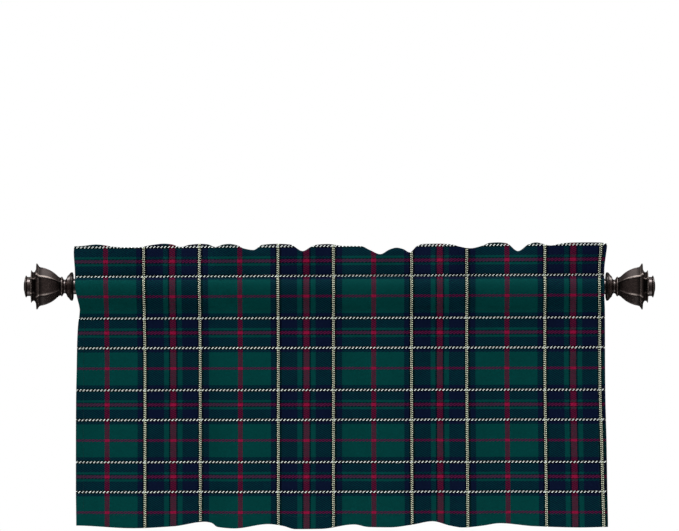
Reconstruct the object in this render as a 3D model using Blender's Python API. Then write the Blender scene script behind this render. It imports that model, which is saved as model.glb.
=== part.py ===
"""Gathered tartan window valance on its bronze rod with two hexagonal finials.

Lengths are in millimetres and are scaled to metres when the meshes are made.
The origin is the middle of the rod's axis. +X runs along the rod to the right
as seen from the room, +Y runs towards the window and +Z is up.
"""
import math

import bpy
import bmesh

# Overall sizes
MM = 0.001
ROD_RADIUS = 12.7
ROD_HALF_LENGTH = 433.3
ROD_SIDES = 32
STUD_HOLE_RADIUS = 4.5
STUD_HOLE_DEPTH = 22.0
STUD_RADIUS = 4.0
STUD_LENGTH = 20.0
FINIAL_FACE = 433.6
FINIAL_SIDES = 24
CLOTH_THICKNESS = 1.4
LEFT_EDGE = -429.5
RIGHT_EDGE = 433.5
EDGE_REACH = 18.0
STATION_STEP = 13.0
SIDE_HEM = 12.0
BOTTOM_HEM = 25.0
HEM_STEP = 0.6
HEADER_SEAM = 16.8
POCKET_SEAM = -38.5
FACING_EDGE = -44.6
HEM_LINE = -389.5

# One row per fold, from the left end to the right one.
# reach: how far the fold leans into the room, as a share of the full wave
FOLDS = [
    # x, reach
    (-429.5, -0.10),
    (-341.0, 0.80),
    (-225.0, -1.00),
    (-172.0, 0.90),
    (-116.0, -0.50),
    (-58.0, 0.90),
    (20.0, -0.70),
    (72.0, 0.65),
    (152.0, -1.00),
    (203.0, 0.75),
    (264.0, -0.85),
    (385.0, 0.75),
    (437.6, 0.30),
]

# How far the lower edge hangs below the hem line, fold by fold
HEM_EDGE = [
    # x, drop
    (-429.5, 0.4),
    (-337.0, 4.4),
    (-270.0, 1.6),
    (-220.0, -5.5),
    (-209.0, -4.0),
    (-199.0, 2.6),
    (-171.0, 4.7),
    (-116.0, -1.9),
    (-93.0, 0.7),
    (-72.0, 5.9),
    (-30.0, 5.6),
    (24.0, -1.2),
    (48.0, 2.7),
    (83.0, 3.0),
    (118.0, -0.9),
    (152.0, -6.3),
    (180.0, 0.3),
    (200.0, 3.2),
    (232.0, 0.6),
    (262.0, -3.2),
    (318.0, 1.4),
    (396.0, 3.2),
    (437.6, 2.4),
]

# The ruffle's upper edge: its crests, its dips and the shoulders of the steep ones
RUFFLE_EDGE = [
    # x, height
    (-431.9, 65.5),
    (-419.0, 66.1),
    (-396.0, 68.5),
    (-368.0, 64.9),
    (-353.7, 63.8),
    (-330.0, 63.7),
    (-307.0, 67.5),
    (-286.0, 69.9),
    (-273.5, 68.8),
    (-259.0, 64.5),
    (-245.0, 68.0),
    (-225.8, 69.6),
    (-215.0, 68.8),
    (-202.0, 64.5),
    (-191.0, 68.2),
    (-180.0, 69.4),
    (-165.4, 67.0),
    (-157.0, 62.4),
    (-140.2, 59.6),
    (-126.0, 68.0),
    (-101.9, 69.6),
    (-80.5, 68.5),
    (-60.0, 57.8),
    (-46.5, 64.7),
    (-36.7, 68.2),
    (-18.7, 69.3),
    (6.0, 66.2),
    (35.0, 65.9),
    (49.0, 59.8),
    (66.5, 52.8),
    (82.3, 60.8),
    (92.9, 63.4),
    (103.5, 61.3),
    (114.5, 55.7),
    (127.0, 66.6),
    (136.5, 69.4),
    (163.0, 69.9),
    (182.0, 68.7),
    (197.0, 64.8),
    (213.0, 62.4),
    (235.0, 67.3),
    (244.5, 71.2),
    (259.0, 72.0),
    (272.0, 70.9),
    (291.0, 57.9),
    (309.0, 69.3),
    (320.3, 71.9),
    (344.0, 66.9),
    (362.7, 70.4),
    (381.0, 71.7),
    (412.0, 72.0),
    (426.0, 71.5),
    (435.0, 69.5),
]

# The two side edges, from the hem to the ruffle's top
SIDE_EDGES = [
    # z, left, right
    (-391.0, -429.2, 437.6),
    (-330.0, -429.8, 436.5),
    (-250.0, -429.8, 435.2),
    (-185.0, -429.5, 433.5),
    (-141.0, -428.6, 433.0),
    (-95.0, -427.8, 432.8),
    (-62.0, -426.2, 432.7),
    (-40.0, -423.3, 432.6),
    (-14.0, -428.2, 431.4),
    (0.0, -430.6, 431.4),
    (27.0, -431.4, 431.6),
    (56.0, -433.2, 434.8),
    (66.0, -432.5, 436.0),
]

# Layers of the ruffle, from just under its top fold down to the seam
HEADER_LEVELS = [
    # height, half_gap, half_width
    (0.97, 0.0, 2.1),
    (0.76, 1.3, 2.7),
    (0.42, 1.1, 2.5),
    (0.12, 0.9, 2.3),
]

# Half of the pocket's inner section around the rod, from the top to the seam
POCKET_POINTS = [
    # y, z, puff
    (5.13, 12.38, 0.1),
    (9.55, 9.55, 0.5),
    (12.55, 5.20, 0.9),
    (13.60, 0.00, 1.0),
    (13.30, -9.00, 1.0),
    (10.20, -19.50, 0.8),
    (5.30, -29.50, 0.4),
]

# Levels of the hanging skirt, as a share of the way from the facing to the hem
SKIRT_SHARES = (0.16, 0.38, 0.62, 0.84)

# Turned profile of a finial, from its face against the rod to the tip
FINIAL_PROFILE = [
    # out, radius, shape
    (0.0, 19.6, "round"),
    (0.9, 22.6, "round"),
    (2.2, 23.3, "round"),
    (4.0, 23.0, "round"),
    (7.9, 18.7, "round"),
    (10.1, 16.4, "round"),
    (11.9, 12.2, "round"),
    (13.9, 11.1, "round"),
    (15.8, 11.7, "round"),
    (17.8, 15.2, "round"),
    (19.2, 16.3, "round"),
    (20.7, 14.7, "round"),
    (23.2, 15.6, "hexagon"),
    (28.4, 20.0, "hexagon"),
    (34.2, 24.5, "hexagon"),
    (40.8, 28.0, "hexagon"),
    (48.0, 30.6, "hexagon"),
    (54.6, 32.1, "hexagon"),
    (56.3, 33.6, "hexagon"),
    (59.5, 38.0, "hexagon"),
    (60.6, 37.2, "hexagon"),
    (61.4, 27.7, "hexagon"),
    (64.7, 23.5, "hexagon"),
    (67.3, 24.8, "hexagon"),
    (68.5, 26.7, "hexagon"),
    (69.3, 26.0, "hexagon"),
    (69.8, 17.9, "round"),
    (73.2, 15.6, "round"),
    (75.6, 17.2, "round"),
    (77.1, 18.1, "round"),
    (79.1, 14.0, "round"),
    (80.5, 7.3, "round"),
]
FINIAL_TIP = 81.1


def clear_scene():
    """Removes every object and mesh that is there."""
    for item in list(bpy.data.objects):
        bpy.data.objects.remove(item, do_unlink=True)
    for mesh in list(bpy.data.meshes):
        bpy.data.meshes.remove(mesh)


def material(name, color, roughness, metallic):
    """Makes one plain material."""
    made = bpy.data.materials.new(name)
    made.use_nodes = True
    shader = made.node_tree.nodes["Principled BSDF"]
    shader.inputs["Base Color"].default_value = (*color, 1.0)
    shader.inputs["Roughness"].default_value = roughness
    shader.inputs["Metallic"].default_value = metallic
    made.diffuse_color = (*color, 1.0)
    return made


def add_object(name, points, faces, mat, sharp_degrees):
    """Makes a closed object whose faces look outwards."""
    mesh = bpy.data.meshes.new(name)
    scaled = [(x * MM, y * MM, z * MM) for x, y, z in points]
    mesh.from_pydata(scaled, [], faces)
    work = bmesh.new()
    work.from_mesh(mesh)
    bmesh.ops.recalc_face_normals(work, faces=work.faces)
    if work.calc_volume(signed=True) < 0.0:
        bmesh.ops.reverse_faces(work, faces=work.faces)
    work.to_mesh(mesh)
    work.free()
    mesh.shade_smooth()
    mesh.set_sharp_from_angle(angle=math.radians(sharp_degrees))
    mesh.materials.append(mat)
    made = bpy.data.objects.new(name, mesh)
    bpy.context.scene.collection.objects.link(made)
    return made


def read_curve(table, x, column):
    """Value of a table's column at x, smooth, with no swing past its rows."""
    if x <= table[0][0]:
        return table[0][column]
    if x >= table[-1][0]:
        return table[-1][column]
    place = 1
    while table[place][0] < x:
        place += 1

    def rise(index):
        step = table[index][0] - table[index - 1][0]
        return (table[index][column] - table[index - 1][column]) / step

    def slope(index):
        if index in (0, len(table) - 1):
            return 0.0
        before = rise(index)
        after = rise(index + 1)
        if before * after <= 0.0:
            return 0.0
        return 2.0 * before * after / (before + after)

    low = table[place - 1]
    high = table[place]
    width = high[0] - low[0]
    share = (x - low[0]) / width
    bend = share * share * (3.0 - 2.0 * share)
    start = slope(place - 1) * width * share * (1.0 - share) ** 2
    end = slope(place) * width * share ** 2 * (share - 1.0)
    return low[column] + (high[column] - low[column]) * bend + start + end


def place_across(x, z):
    """Where a point of the cloth's width stands, drawn in or out by its edges."""
    left = read_curve(SIDE_EDGES, z, 1) - LEFT_EDGE
    right = read_curve(SIDE_EDGES, z, 2) - RIGHT_EDGE
    near_left = math.exp((LEFT_EDGE - x) / EDGE_REACH)
    near_right = math.exp((x - RIGHT_EDGE) / EDGE_REACH)
    return x + left * near_left + right * near_right


def ruffle_top(x):
    """Height of the ruffle's upper edge."""
    return read_curve(RUFFLE_EDGE, x, 1)


def sway(reach, z, top, bottom):
    """How far the layers stand from the rod's plane at height z."""
    if z >= HEADER_SEAM:
        share = (z - HEADER_SEAM) / (top - HEADER_SEAM)
        return -reach * (1.2 + 6.8 * share)
    if z <= POCKET_SEAM:
        share = (POCKET_SEAM - z) / (POCKET_SEAM - bottom)
        return -reach * (2.0 + 8.5 * share ** 0.8)
    return -reach * 1.4


def section(x, in_side_hem):
    """Outer contour and the two inner contours of the cloth at one station."""
    thick = CLOTH_THICKNESS
    reach = read_curve(FOLDS, x, 1)
    top = ruffle_top(x)
    bottom = HEM_LINE - read_curve(HEM_EDGE, x, 1)
    side_extra = thick if in_side_hem else 0.0

    front = []
    back = []
    gap_front = []
    gap_back = []
    for height, half_gap, half_width in HEADER_LEVELS:
        z = HEADER_SEAM + (top - HEADER_SEAM) * height
        middle = sway(reach, z, top, bottom)
        front.append((middle - half_width, z))
        back.append((middle + half_width, z))
        if half_gap > 0.0:
            gap_front.append((middle - half_gap, z))
            gap_back.append((middle + half_gap, z))
    crest = (sway(reach, top, top, bottom), top)
    gap_top = (crest[0], top - 2.8)

    seam = sway(reach, HEADER_SEAM, top, bottom)
    gap_foot = (seam, HEADER_SEAM + 1.9)
    front.append((seam - 1.5, HEADER_SEAM))
    back.append((seam + 1.5, HEADER_SEAM))
    pocket_top = (seam, ROD_RADIUS + 0.7)

    pocket_front = []
    pocket_back = []
    for y, z, puff in POCKET_POINTS:
        length = math.hypot(y, z)
        swell = puff * 2.2 * max(0.0, reach)
        hollow = puff * 1.4 * max(0.0, -reach)
        for sign, grow, inner, outer in ((-1.0, swell, pocket_front, front),
                                         (1.0, hollow, pocket_back, back)):
            near = y + grow
            inner.append((sign * near, z))
            outer.append((sign * (near + thick * y / length), z + thick * z / length))
    low = sway(reach, POCKET_SEAM, top, bottom)
    pocket_foot = (low, POCKET_SEAM + 1.6)

    front.append((low - thick, POCKET_SEAM))
    back.append((low + thick, POCKET_SEAM))
    middle = sway(reach, FACING_EDGE, top, bottom)
    front.append((middle - thick, FACING_EDGE))
    back.append((middle + thick + side_extra * 0.5, FACING_EDGE))
    back.append((middle + side_extra, FACING_EDGE - HEM_STEP))
    hem_top = bottom + BOTTOM_HEM
    for share in SKIRT_SHARES:
        z = FACING_EDGE + (hem_top - FACING_EDGE) * share
        middle = sway(reach, z, top, bottom)
        front.append((middle - thick, z))
        back.append((middle + side_extra, z))
    middle = sway(reach, hem_top, top, bottom)
    front.append((middle - thick, hem_top))
    back.append((middle + side_extra, hem_top))
    back.append((middle + thick + side_extra * 0.5, hem_top - HEM_STEP))
    middle = sway(reach, bottom, top, bottom)
    front.append((middle - thick * 0.9, bottom + 0.9))
    back.append((middle + thick + side_extra * 0.5, bottom + 0.9))
    foot = (middle, bottom)

    outer = [crest] + front + [foot] + back[::-1]
    gap = [gap_top] + gap_front + [gap_foot] + gap_back[::-1]
    pocket = [pocket_top] + pocket_front + [pocket_foot] + pocket_back[::-1]
    return outer, gap, pocket


def end_faces(outer, gap, pocket):
    """Faces of one end of the cloth, as indices of one station's points."""
    total = len(outer)
    gap_start = total
    pocket_start = total + len(gap)
    levels = len(HEADER_LEVELS)
    layers = levels - 1
    around = len(POCKET_POINTS)
    gap_foot = gap_start + layers + 1
    pocket_foot = pocket_start + around + 1
    faces = []

    def pair(step):
        """The front and the back outer point, so many steps below the crest."""
        return step, total - step

    def gap_pair(step):
        if step == 0:
            return gap_start, gap_start
        return gap_start + step, gap_start + len(gap) - step

    def pocket_pair(step):
        if step == 0:
            return pocket_start, pocket_start
        return pocket_start + step, pocket_start + len(pocket) - step

    front, back = pair(1)
    faces.append((0, front, gap_start))
    faces.append((0, gap_start, back))
    for step in range(1, levels + 1):
        here = pair(step)
        below = pair(step + 1)
        inner = gap_pair(step - 1)
        inner_below = gap_pair(step) if step <= layers else (gap_foot, gap_foot)
        faces.append((here[0], below[0], inner_below[0], inner[0]))
        faces.append((here[1], inner[1], inner_below[1], below[1]))
    seam = pair(levels + 1)
    faces.append((seam[0], pocket_start, gap_foot))
    faces.append((seam[1], gap_foot, pocket_start))
    for step in range(around + 1):
        here = pair(levels + 1 + step)
        below = pair(levels + 2 + step)
        inner = pocket_pair(step)
        inner_below = pocket_pair(step + 1) if step < around else (pocket_foot, pocket_foot)
        faces.append((here[0], below[0], inner_below[0], inner[0]))
        faces.append((here[1], inner[1], inner_below[1], below[1]))
    front = levels + around + 2
    back = total - front
    faces.append((front, back, pocket_foot))
    faces.append((front, front + 1, back - 1, back))
    front += 1
    back -= 1
    faces.append((front, back - 1, back))
    back -= 1
    for _ in range(len(SKIRT_SHARES) + 1):
        faces.append((front, front + 1, back - 1, back))
        front += 1
        back -= 1
    faces.append((front, back - 1, back))
    back -= 1
    faces.append((front, front + 1, back - 1, back))
    faces.append((front + 1, front + 2, back - 1))
    return faces


def cloth_stations():
    """Sections across the width, with one at every row of the ruffle's edge."""
    left = LEFT_EDGE + SIDE_HEM
    right = RIGHT_EDGE - SIDE_HEM
    first = left + HEM_STEP
    last = right - HEM_STEP
    places = [first]
    places += [row[0] for row in RUFFLE_EDGE if first + 4.0 < row[0] < last - 4.0]
    places.append(last)
    stations = [(LEFT_EDGE, True), (left, True), (first, False)]
    for near, far in zip(places, places[1:]):
        parts = math.ceil((far - near) / STATION_STEP)
        for number in range(1, parts + 1):
            stations.append((near + (far - near) * number / parts, False))
    stations += [(right, True), (RIGHT_EDGE, True)]
    return stations


def build_cloth(mat):
    """The valance: ruffle, rod pocket, skirt and hems in one sheet."""
    points = []
    faces = []
    first = None
    size = 0
    for number, (x, in_side_hem) in enumerate(cloth_stations()):
        loops = section(x, in_side_hem)
        if first is None:
            first = loops
            size = sum(len(loop) for loop in loops)
        for loop in loops:
            for y, z in loop:
                points.append((place_across(x, z), y, z))
        if number == 0:
            continue
        here = number * size
        for loop in loops:
            count = len(loop)
            start = here
            for index in range(count):
                after = (index + 1) % count
                faces.append((start + index - size, start + after - size,
                              start + after, start + index))
            here += count
    ends = end_faces(*first)
    last = len(points) - size
    faces += ends
    faces += [tuple(last + index for index in reversed(face)) for face in ends]
    return add_object("valance", points, faces, mat, 50.0)


def ring(x, radius, sides, shape="round"):
    """A loop of points around the rod's axis, the first one on top."""
    points = []
    for number in range(sides):
        angle = 2.0 * math.pi * number / sides
        reach = radius
        if shape == "hexagon":
            off = math.fmod(angle, math.pi / 3.0) - math.pi / 6.0
            reach = radius * math.cos(math.pi / 6.0) / math.cos(off)
        points.append((x, reach * math.sin(angle), reach * math.cos(angle)))
    return points


def loft(rings, first_tip, last_tip):
    """Points and faces through the rings, closed at both tips."""
    sides = len(rings[0])
    points = [first_tip]
    for loop in rings:
        points += loop
    points.append(last_tip)
    faces = []
    for index in range(sides):
        after = (index + 1) % sides
        faces.append((0, 1 + after, 1 + index))
        for number in range(len(rings) - 1):
            low = 1 + number * sides
            high = low + sides
            faces.append((low + index, low + after, high + after, high + index))
        low = 1 + (len(rings) - 1) * sides
        faces.append((low + index, low + after, len(points) - 1))
    return points, faces


def build_rod(mat):
    """Plain round rod with a blind hole in each end for the finial's stud."""
    end = ROD_HALF_LENGTH
    floor = end - STUD_HOLE_DEPTH
    rings = [
        ring(-floor, STUD_HOLE_RADIUS, ROD_SIDES),
        ring(-end, STUD_HOLE_RADIUS, ROD_SIDES),
        ring(-end, ROD_RADIUS, ROD_SIDES),
        ring(end, ROD_RADIUS, ROD_SIDES),
        ring(end, STUD_HOLE_RADIUS, ROD_SIDES),
        ring(floor, STUD_HOLE_RADIUS, ROD_SIDES),
    ]
    points, faces = loft(rings, (-floor, 0.0, 0.0), (floor, 0.0, 0.0))
    return add_object("rod", points, faces, mat, 40.0)


def build_finial(name, side, mat):
    """Hexagonal bell finial with a plain stud that enters the rod's end."""
    stud = FINIAL_FACE - STUD_LENGTH
    rings = [
        ring(side * stud, STUD_RADIUS, FINIAL_SIDES),
        ring(side * FINIAL_FACE, STUD_RADIUS, FINIAL_SIDES),
    ]
    for out, radius, shape in FINIAL_PROFILE:
        rings.append(ring(side * (FINIAL_FACE + out), radius, FINIAL_SIDES, shape))
    tip = (side * (FINIAL_FACE + FINIAL_TIP), 0.0, 0.0)
    points, faces = loft(rings, (side * stud, 0.0, 0.0), tip)
    return add_object(name, points, faces, mat, 32.0)


def main():
    clear_scene()
    cloth = material("tartan_cloth", (0.007, 0.028, 0.036), 0.9, 0.0)
    rod_metal = material("rod_bronze", (0.034, 0.024, 0.022), 0.5, 0.7)
    left_metal = material("finial_bronze_left", (0.034, 0.024, 0.022), 0.42, 0.7)
    right_metal = material("finial_bronze_right", (0.034, 0.024, 0.022), 0.42, 0.7)
    build_cloth(cloth)
    build_rod(rod_metal)
    build_finial("finial_left", -1.0, left_metal)
    build_finial("finial_right", 1.0, right_metal)


main()
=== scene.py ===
"""Looks of the gathered tartan valance, its bronze rod and its two finials.

Lengths are in millimetres and are scaled to metres when the meshes are made.
The origin is the middle of the rod's axis, +X runs along the rod to the right,
+Y runs from the room towards the window and +Z is up.
"""
import math

import bpy
import bmesh
import numpy as np
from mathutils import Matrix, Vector


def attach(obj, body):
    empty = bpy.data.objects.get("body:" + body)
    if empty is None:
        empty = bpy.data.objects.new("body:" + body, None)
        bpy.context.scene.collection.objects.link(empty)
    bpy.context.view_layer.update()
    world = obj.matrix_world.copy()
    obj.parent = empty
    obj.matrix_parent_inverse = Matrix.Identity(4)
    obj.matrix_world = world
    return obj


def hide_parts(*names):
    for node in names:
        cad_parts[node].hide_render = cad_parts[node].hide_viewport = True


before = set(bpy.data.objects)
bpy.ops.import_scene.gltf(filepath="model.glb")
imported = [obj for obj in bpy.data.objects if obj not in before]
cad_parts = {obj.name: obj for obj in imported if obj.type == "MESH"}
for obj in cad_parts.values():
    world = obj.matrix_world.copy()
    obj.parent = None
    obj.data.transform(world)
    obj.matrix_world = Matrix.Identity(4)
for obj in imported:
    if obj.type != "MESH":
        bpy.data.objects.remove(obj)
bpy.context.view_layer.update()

MM = 0.001

# The cloth, as in the part
ROD_RADIUS = 12.7
CLOTH_THICKNESS = 1.4
LEFT_EDGE = -429.5
RIGHT_EDGE = 433.5
EDGE_REACH = 18.0
SIDE_HEM = 12.0
BOTTOM_HEM = 25.0
HEM_STEP = 0.6
HEADER_SEAM = 16.8
HEADER_TOP = 73.0
POCKET_SEAM = -38.5
FACING_EDGE = -44.6
HEM_LINE = -389.5
CLOTH_COLUMNS = 380
HEM_COLUMNS = 6

# How far each fold leans into the room, as a share of the full wave
FOLDS = [
    # x, reach
    (-429.5, -0.10),
    (-341.0, 0.80),
    (-225.0, -1.00),
    (-172.0, 0.90),
    (-116.0, -0.50),
    (-58.0, 0.90),
    (20.0, -0.70),
    (72.0, 0.65),
    (152.0, -1.00),
    (203.0, 0.75),
    (264.0, -0.85),
    (385.0, 0.75),
    (437.6, 0.30),
]

# How far the lower edge hangs below the hem line, fold by fold
HEM_EDGE = [
    # x, drop
    (-429.5, 0.4),
    (-337.0, 4.4),
    (-270.0, 1.6),
    (-220.0, -5.5),
    (-209.0, -4.0),
    (-199.0, 2.6),
    (-171.0, 4.7),
    (-116.0, -1.9),
    (-93.0, 0.7),
    (-72.0, 5.9),
    (-30.0, 5.6),
    (24.0, -1.2),
    (48.0, 2.7),
    (83.0, 3.0),
    (118.0, -0.9),
    (152.0, -6.3),
    (180.0, 0.3),
    (200.0, 3.2),
    (232.0, 0.6),
    (262.0, -3.2),
    (318.0, 1.4),
    (396.0, 3.2),
    (437.6, 2.4),
]

# The ruffle's upper edge: its crests, its dips and the shoulders of the steep ones
RUFFLE_EDGE = [
    # x, height
    (-431.9, 65.5),
    (-419.0, 66.1),
    (-396.0, 68.5),
    (-368.0, 64.9),
    (-353.7, 63.8),
    (-330.0, 63.7),
    (-307.0, 67.5),
    (-286.0, 69.9),
    (-273.5, 68.8),
    (-259.0, 64.5),
    (-245.0, 68.0),
    (-225.8, 69.6),
    (-215.0, 68.8),
    (-202.0, 64.5),
    (-191.0, 68.2),
    (-180.0, 69.4),
    (-165.4, 67.0),
    (-157.0, 62.4),
    (-140.2, 59.6),
    (-126.0, 68.0),
    (-101.9, 69.6),
    (-80.5, 68.5),
    (-60.0, 57.8),
    (-46.5, 64.7),
    (-36.7, 68.2),
    (-18.7, 69.3),
    (6.0, 66.2),
    (35.0, 65.9),
    (49.0, 59.8),
    (66.5, 52.8),
    (82.3, 60.8),
    (92.9, 63.4),
    (103.5, 61.3),
    (114.5, 55.7),
    (127.0, 66.6),
    (136.5, 69.4),
    (163.0, 69.9),
    (182.0, 68.7),
    (197.0, 64.8),
    (213.0, 62.4),
    (235.0, 67.3),
    (244.5, 71.2),
    (259.0, 72.0),
    (272.0, 70.9),
    (291.0, 57.9),
    (309.0, 69.3),
    (320.3, 71.9),
    (344.0, 66.9),
    (362.7, 70.4),
    (381.0, 71.7),
    (412.0, 72.0),
    (426.0, 71.5),
    (435.0, 69.5),
]

# The two side edges, from the hem to the ruffle's top
SIDE_EDGES = [
    # z, left, right
    (-391.0, -429.2, 437.6),
    (-330.0, -429.8, 436.5),
    (-250.0, -429.8, 435.2),
    (-185.0, -429.5, 433.5),
    (-141.0, -428.6, 433.0),
    (-95.0, -427.8, 432.8),
    (-62.0, -426.2, 432.7),
    (-40.0, -423.3, 432.6),
    (-14.0, -428.2, 431.4),
    (0.0, -430.6, 431.4),
    (27.0, -431.4, 431.6),
    (56.0, -433.2, 434.8),
    (66.0, -432.5, 436.0),
]

# How far a full wave carries the layers off the rod's plane
SWAY_POCKET = 1.4
SWAY_HEADER = 1.2
SWAY_RUFFLE = 6.8
SWAY_SKIRT = 2.0
SWAY_FOOT = 8.5

# Layers of the ruffle, from just under its top fold down to the seam
HEADER_LEVELS = [
    # height, half_gap, half_width
    (0.97, 0.0, 2.1),
    (0.76, 1.3, 2.7),
    (0.42, 1.1, 2.5),
    (0.12, 0.9, 2.3),
]

# Half of the pocket's inner section around the rod, from the top to the seam
POCKET_POINTS = [
    # y, z, puff
    (5.13, 12.38, 0.1),
    (9.55, 9.55, 0.5),
    (12.55, 5.20, 0.9),
    (13.60, 0.00, 1.0),
    (13.30, -9.00, 1.0),
    (10.20, -19.50, 0.8),
    (5.30, -29.50, 0.4),
]
POCKET_SWELL_FRONT = 2.2
POCKET_SWELL_BACK = 1.4
SKIRT_SHARES = (0.08, 0.16, 0.27, 0.38, 0.5, 0.62, 0.73, 0.84, 0.93)

# Soft secondary folds of the skirt: ridges towards the room are positive
SOFT_FOLDS = [
    # x_top, x_foot, depth, half_width, start, end
    (-402.0, -398.0, 1.3, 16.0, -60.0, -400.0),
    (-352.0, -372.0, -1.2, 15.0, -45.0, -260.0),
    (-292.0, -285.0, 1.5, 17.0, -50.0, -420.0),
    (-246.0, -252.0, -1.1, 13.0, -45.0, -230.0),
    (-199.0, -197.0, 1.4, 11.0, -80.0, -420.0),
    (-146.0, -150.0, 1.0, 12.0, -45.0, -240.0),
    (-93.0, -84.0, 1.2, 12.0, -70.0, -420.0),
    (-28.0, -22.0, 1.5, 15.0, -45.0, -300.0),
    (46.0, 44.0, 1.2, 12.0, -90.0, -420.0),
    (108.0, 112.0, -1.3, 14.0, -45.0, -280.0),
    (176.0, 181.0, 1.2, 11.0, -60.0, -420.0),
    (236.0, 231.0, 1.1, 14.0, -45.0, -250.0),
    (312.0, 322.0, -1.5, 17.0, -50.0, -420.0),
    (352.0, 340.0, 1.2, 13.0, -45.0, -240.0),
    (410.0, 414.0, -1.2, 14.0, -70.0, -420.0),
]

# Bands of the baking map for the outside, the ruffle's gap and the pocket's inside
BAKE_BANDS = ((0.0, 0.80), (0.82, 0.88), (0.90, 0.98))

# Small gathers on both sides of the two seams
PUCKER_DEPTH = 0.75
PUCKER_REACH = 8.0
PUCKER_PITCH = 26.0

# Sett of the tartan in plain threads, from the middle of one broad red to the next.
# A light line holds two thick yarns in the room of three warps or four wefts. Each
# pair of numbers is for the warp and the weft
SETT_BANDS = [
    # first warp, first weft, colour
    (0, 0, "red"),
    (3, 3, "gap"),
    (5, 5, "green"),
    (10, 10, "navy"),
    (27, 27, "black"),
    (29, 29, "light"),
    (32, 33, "black"),
    (34, 35, "navy"),
    (40, 41, "green"),
    (73, 74, "red"),
    (78, 79, "green"),
    (110, 111, "navy"),
    (115, 116, "black"),
    (117, 118, "light"),
    (120, 122, "black"),
    (122, 124, "navy"),
    (140, 142, "green"),
    (145, 147, "gap"),
    (147, 149, "red"),
]
SETT_THREADS = (150, 152)
LIGHT_ROOM = (3, 4)
LIGHT_YARNS = 2
THREAD_ACROSS = 1.448
THREAD_DOWN = 0.7723
RED_WARP_AT = -54.15
RED_WEFT_AT = -75.25
WARP_DYES = {
    "red": (144, 13, 46),
    "gap": (6, 8, 22),
    "green": (0, 57, 55),
    "navy": (7, 16, 40),
    "black": (1, 2, 5),
    "light": (244, 250, 222),
}
WEFT_DYES = {
    "red": (128, 17, 64),
    "gap": (5, 9, 22),
    "green": (0, 58, 56),
    "navy": (7, 17, 42),
    "black": (1, 2, 5),
    "light": (246, 253, 250),
}
DYE_GAIN = 0.9

# Heights on a light yarn's round back where it begins to show and shows in full; lower on its back
# its colour is painted shade
LIGHT_FROM = 0.42
LIGHT_FULL = 0.62

# How the threads lean: the upright ones to the left above and to the right below,
# the level ones up to the right, most in the ruffle
LEAN_LEFT = -2.1
LEAN_LEFT_WIDTH = 320.0
LEAN_LEFT_START = -120.0
LEAN_LEFT_RUN = 140.0
LEAN_RIGHT = 2.8
LEAN_RIGHT_WIDTH = 330.0
LEAN_RIGHT_START = -150.0
LEAN_RIGHT_RUN = 230.0
TILT_BELOW = 0.0008
TILT_ABOVE = 0.0044
TILT_LEVEL = 41.0
TILT_FADE = 110.0

# Stitches: their size and round form, and how far the rows stay from the hem's upper
# edge and from the seams that they run to
STITCH_LENGTH = 2.5
STITCH_PITCH = 3.5
STITCH_RADIUS = 0.26
STITCH_SIDES = 6
STITCH_PROFILE = ((-0.5, 0.0), (-0.42, 0.75), (-0.15, 1.0), (0.15, 1.0), (0.42, 0.75), (0.5, 0.0))
HEM_ROW = 3.0
SIDE_ROW_GAP = 4.0

# The finials: their face against the rod, their tip, and the ribs on their corners
FINIAL_FACE = 433.6
FINIAL_TIP = 81.1
FINIAL_SIDES = 252
STUD_LENGTH = 20.0
STUD_RADIUS = 4.0
ROW_SPLITS = 5
TIP_ROWS = 5
CORNER_CROWDING = 0.8
FACET_SHARPNESS = 90
RIB_HEIGHT = 0.9
RIB_WIDTH = 1.5

# Their coat, and the rubbed strips beside the corners, which widen with the bell: rubbing with a
# painted highlight, much stronger above the upper ridges
COAT_WEIGHT = 0.75
RUB_HIGHLIGHT_ABOVE = 2.2
RUB_HIGHLIGHT_BELOW = 0.5
RUB_HIGHLIGHT_AWAY = 1.8
RUB_HIGHLIGHT_WIDTH = 1.25
RUB_HIGHLIGHT_SPREAD = 17.0
RUB_HIGHLIGHT_START = 18.0
RUB_HIGHLIGHT_LENGTH = 30.0

# Turned profile of a finial, from its face to its tip. The last column goes from -1, painted shade
# that blackens a crease and darkens the plate and the bell's neck, to 1 on a rubbed lip with a
# painted highlight
FINIAL_PROFILE = [
    # out, radius, hexagon, rub and painted light
    (0.0, 19.6, 0.0, -0.9),
    (0.9, 22.6, 0.0, -0.7),
    (2.2, 23.3, 0.0, -0.85),
    (4.0, 23.0, 0.0, -0.6),
    (7.9, 18.7, 0.0, 0.05),
    (10.1, 16.4, 0.0, -0.15),
    (11.9, 12.2, 0.0, -0.9),
    (13.9, 11.1, 0.0, 0.1),
    (15.8, 11.7, 0.0, -0.6),
    (17.8, 15.2, 0.0, 0.0),
    (19.2, 16.3, 0.0, 0.15),
    (20.7, 14.7, 0.0, -0.9),
    (23.2, 15.6, 1.0, -0.8),
    (28.4, 20.0, 1.0, -0.45),
    (34.2, 24.5, 1.0, -0.25),
    (40.8, 28.0, 1.0, -0.05),
    (48.0, 30.6, 1.0, 0.0),
    (54.6, 32.1, 1.0, -0.7),
    (56.3, 33.6, 1.0, 0.2),
    (59.5, 38.0, 1.0, -0.4),
    (60.6, 37.2, 1.0, -0.9),
    (61.4, 27.7, 1.0, -0.7),
    (64.7, 23.5, 1.0, -1.0),
    (67.3, 24.8, 1.0, -0.2),
    (68.5, 26.7, 1.0, 0.4),
    (69.3, 26.0, 1.0, 0.1),
    (69.8, 16.4, 0.0, -1.0),
    (71.0, 15.6, 0.0, 0.0),
    (75.0, 15.6, 0.0, 0.0),
    (76.2, 17.0, 0.0, -0.8),
    (77.3, 18.0, 0.0, 0.1),
    (79.1, 14.0, 0.0, 0.0),
    (80.5, 7.3, 0.0, 0.0),
]

# The picture, its scale at the rod and where the rod's middle shows in it
PICTURE_WIDTH = 679
PICTURE_HEIGHT = 531
MM_PER_PIXEL = 1.63
MIDDLE_PIXEL_X = 339.5
ROD_PIXEL_Y = 286.5
CAMERA_DISTANCE = 12.0
SENSOR_WIDTH = 36.0

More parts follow.
